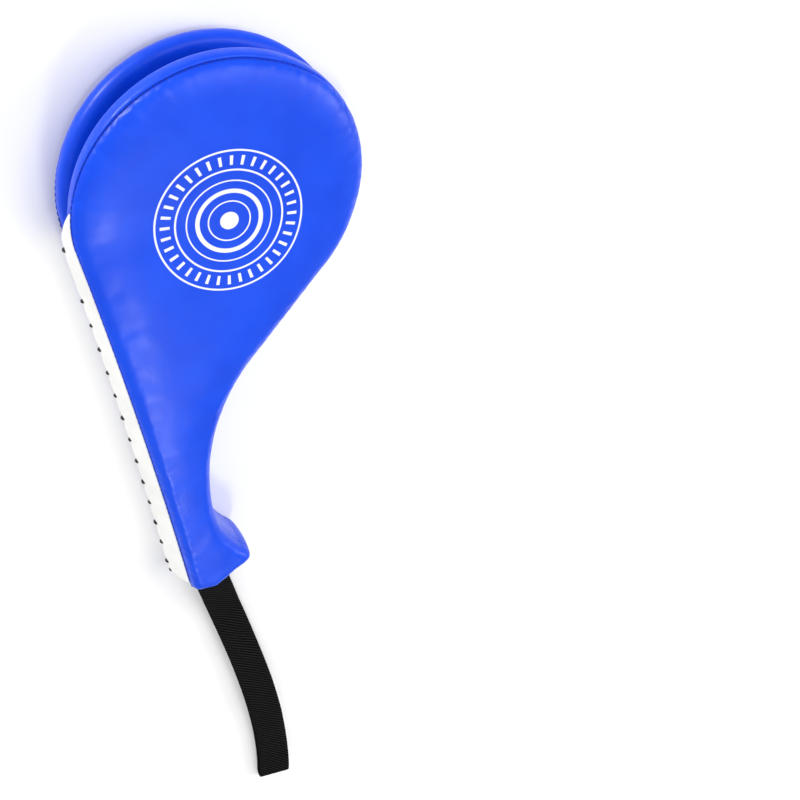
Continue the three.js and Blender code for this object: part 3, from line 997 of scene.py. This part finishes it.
def webbing():
    """Black twill webbing: fine ribs that run aslant across it, with painted shade in the grooves and
    painted light on the rib tops.
    """
    m = Shader("black_webbing")
    split = m.node("ShaderNodeSeparateXYZ")
    m.feed(split.inputs[0], m.rest("weave_mm"))
    slant = m.math("SUBTRACT", split.outputs[1], m.math("MULTIPLY", split.outputs[0], TWILL_SLANT))
    rib = m.math("SINE", m.math("MULTIPLY", slant, 2 * math.pi / TWILL_PITCH))
    yarn = m.math("SINE", m.math("MULTIPLY", split.outputs[0], 2 * math.pi / YARN_PITCH))
    height = m.math("ADD", rib, m.math("MULTIPLY", yarn, 0.4))
    fuzz = m.noise(m.rest("weave_mm"), 2.2, 3.0)
    # painted shade and light: the colour follows the rib height, near black in the grooves and lighter on
    # the rib tops
    shade = m.mix(m.spread(height, 0.0, 1.3), (0.0002, 0.0002, 0.0002, 1), (0.034, 0.034, 0.036, 1))
    m.set(Base_Color=m.mix(m.spread(fuzz, 0.45, 0.65), shade, (0.004, 0.004, 0.0045, 1)))
    m.set(Roughness=m.spread(fuzz, 0.3, 0.7, 0.82, 0.92))
    m.set(Specular_IOR_Level=0.05)
    m.set(Normal=m.bump(height, 0.00022, 0.9))
    return m.material


def twisted(name, colour, deep, pitch):
    """Twisted thread or cord, with painted shade in the grooves between the strands."""
    m = Shader(name)
    where = m.rest()
    split = m.node("ShaderNodeSeparateXYZ")
    m.feed(split.inputs[0], where)
    along = m.math("ADD", m.math("ADD", split.outputs[0], split.outputs[1]), split.outputs[2])
    strand = m.math("SINE", m.math("MULTIPLY", along, 2 * math.pi / pitch))
    # painted shade: the colour follows the strand wave, darker in the grooves between the strands and
    # lighter on their crests
    m.set(Base_Color=m.mix(m.spread(strand, -1, 1), deep, colour))
    m.set(Roughness=m.spread(m.noise(where, 2.0), 0.3, 0.7, 0.6, 0.8))
    m.set(Normal=m.bump(strand, 0.0001, 0.6))
    return m.material


def speckled(name, colour, deep, scale, roughness):
    """Plain hidden material with a fine speckle: foam, board and core."""
    m = Shader(name)
    where = m.node("ShaderNodeTexCoord").outputs["Object"]
    grain = m.noise(where, scale, 4.0)
    m.set(Base_Color=m.mix(m.spread(grain, 0.3, 0.7), deep, colour))
    m.set(Roughness=m.spread(grain, 0.2, 0.8, roughness - 0.05, roughness + 0.05))
    m.set(Normal=m.bump(grain, 0.0002, 0.4))
    return m.material


def paint(made, material):
    made.data.materials.clear()
    made.data.materials.append(material)


# ---- assembly --------------------------------------------------------------------------

BLUE = (0.004, 0.068, 0.74, 1)
BLUE_DEEP = (0.003, 0.058, 0.68, 1)
blue = leather("blue_leather", BLUE, BLUE_DEEP)
blue_printed = leather("blue_leather_printed", BLUE, BLUE_DEEP, printed=True)
white = leather("white_leather", (0.86, 0.86, 0.84, 1), (0.80, 0.80, 0.78, 1), 0.5)
# the second colour of each thread and cord is the painted shade in the grooves between its strands
blue_thread = twisted("blue_thread", (0.010, 0.045, 0.60, 1), (0.004, 0.02, 0.3, 1), 0.7)
black_cord = twisted("black_cord", (0.006, 0.006, 0.007, 1), (0.001, 0.001, 0.0012, 1), 1.1)
black_webbing = webbing()
foam = speckled("foam", (0.78, 0.72, 0.48, 1), (0.66, 0.60, 0.38, 1), 900, 0.95)
board = speckled("board", (0.36, 0.38, 0.40, 1), (0.28, 0.30, 0.32, 1), 400, 0.6)


def bends(made):
    """Bakes the piece's placement into its mesh."""
    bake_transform(made)


def build_half(half):
    face = face_cover(half)
    subdivide(face)
    paint(face, blue_printed if half == "front" else blue)
    inner = inner_cover(half)
    paint(inner, blue)
    stitches = seam_stitches(half)
    paint(stitches, blue_thread)
    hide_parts(f"{half}_face_panel", f"{half}_grip_panel")
    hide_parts(f"{half}_rim_wrap", f"{half}_pocket_lining")
    threads = [f"{half}_{name}_seam_thread" for name in ("rim", "left", "right")]
    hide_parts(*threads)
    for made, slot in ((face, "blue_leather"), (inner, "blue_leather"), (stitches, "blue_thread")):
        bends(made)
    strip = side_strip(half)
    paint(strip, white)
    bends(strip)
    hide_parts(f"{half}_left_side_strip")


def build_shared():
    parts = (
        (lacing(), black_cord, "left_lace", "black_cord"),
        (butt_cover(), blue, "butt_panel", "blue_leather"),
        (side_panel(), blue, "right_side_panel", "blue_leather"),
    )
    for made, material, node, slot in parts:
        paint(made, material)
        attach(made, "handle")
        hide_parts(node)


def build_strap():
    strap = wrist_strap()
    paint(strap, black_webbing)
    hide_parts("wrist_strap")
    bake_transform(strap)


def finish_hidden_nodes():
    looks = {"foam": foam, "board": board, "core": foam, "anchor": black_webbing, "tack": black_cord}
    for name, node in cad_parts.items():
        for ending, material in looks.items():
            if name.endswith(ending):
                paint(node, material)


build_half("front")
build_half("rear")
build_shared()
build_strap()
finish_hidden_nodes()


# ---- stage -----------------------------------------------------------------------------


def floor():
    bpy.ops.mesh.primitive_plane_add(size=12, location=(0, 0, -0.0006))
    made = bpy.context.object
    made.name = "floor"
    m = Shader("studio_floor")
    where = m.node("ShaderNodeTexCoord").outputs["Object"]
    m.set(Base_Color=m.mix(m.noise(where, 3.0), (0.93, 0.93, 0.93, 1), (0.95, 0.95, 0.95, 1)))
    m.set(Roughness=0.9, Specular_IOR_Level=0.1)
    paint(made, m.material)


def area_light(name, place_at, target, size, power):
    data = bpy.data.lights.new(name, "AREA")
    data.shape = "DISK"
    data.size = size
    data.energy = power
    made = bpy.data.objects.new(name, data)
    made.location = place_at
    made.rotation_euler = (Vector(target) - Vector(place_at)).to_track_quat("-Z", "Y").to_euler()
    bpy.context.scene.collection.objects.link(made)


def studio():
    world = bpy.data.worlds.new("studio")
    world.use_nodes = True
    background = world.node_tree.nodes["Background"]
    background.inputs[0].default_value = (1, 1, 1, 1)
    background.inputs[1].default_value = 0.5
    bpy.context.scene.world = world
    bpy.context.scene.view_settings.view_transform = "Standard"
    area_light("shoulder_soft_box", (0.0, -0.73, 1.17), (-0.06, 0.25, 0), 0.25, 4.0)
    area_light("rim_soft_box", (-1.3, 1.3, 0.45), (0, 0.2, 0), 0.35, 20)
    area_light("right_soft_box", (1.5, 0.3, 1.0), (0, 0.1, 0), 1.0, 13)
    area_light("top_soft_box", (0.5, 0.6, 1.9), (0, 0.1, 0), 1.2, 13)


CAMERA_AT = Vector((-0.2491, 0.5689, 0.7787))
CAMERA_TARGET = Vector((0.1433, 0.0459, 0.0235))
CAMERA_UP = Vector((-0.0645, 0.998, 0.0))
CAMERA_ROLL = 0.0066
CAMERA_LENS = 60.8


def camera():
    data = bpy.data.cameras.new("camera")
    data.sensor_width = 36
    data.lens = CAMERA_LENS
    data.clip_start = 0.01
    made = bpy.data.objects.new("camera", data)
    forward = (CAMERA_TARGET - CAMERA_AT).normalized()
    right = forward.cross(CAMERA_UP).normalized()
    up = right.cross(forward)
    tilted_right = right * math.cos(CAMERA_ROLL) + up * math.sin(CAMERA_ROLL)
    tilted_up = tilted_right.cross(forward)
    rotation = Matrix((tilted_right, tilted_up, -forward)).transposed()
    made.matrix_world = Matrix.Translation(CAMERA_AT) @ rotation.to_4x4()
    bpy.context.scene.collection.objects.link(made)
    bpy.context.scene.camera = made


floor()
studio()
camera()
